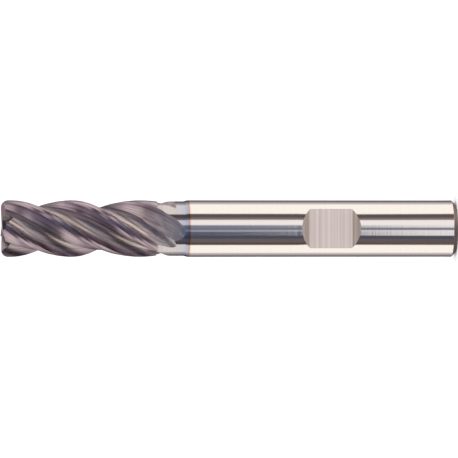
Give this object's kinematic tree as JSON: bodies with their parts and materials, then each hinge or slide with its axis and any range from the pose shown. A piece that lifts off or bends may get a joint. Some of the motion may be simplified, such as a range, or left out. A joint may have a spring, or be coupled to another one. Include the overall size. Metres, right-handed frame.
{
  "type": "end mill",
  "caption": "Coated solid-carbide end mill with variable-helix flutes, corner radii, a recessed neck and a plain round shank with a side-lock flat.",
  "frame": {"origin": "centre of the shank's end face, which the tool stands on", "axes": "+Z along the tool's axis, from the shank's end to the cutting end; -Y is the side of the flat"},
  "size_m": [0.008, 0.008, 0.0645],
  "materials": {
    "carbide": "ground bright shank; violet-grey hard coating on the flutes and neck"
  },
  "bodies": {
    "root": {"endmill": "carbide"}
  },
  "joints": []
}
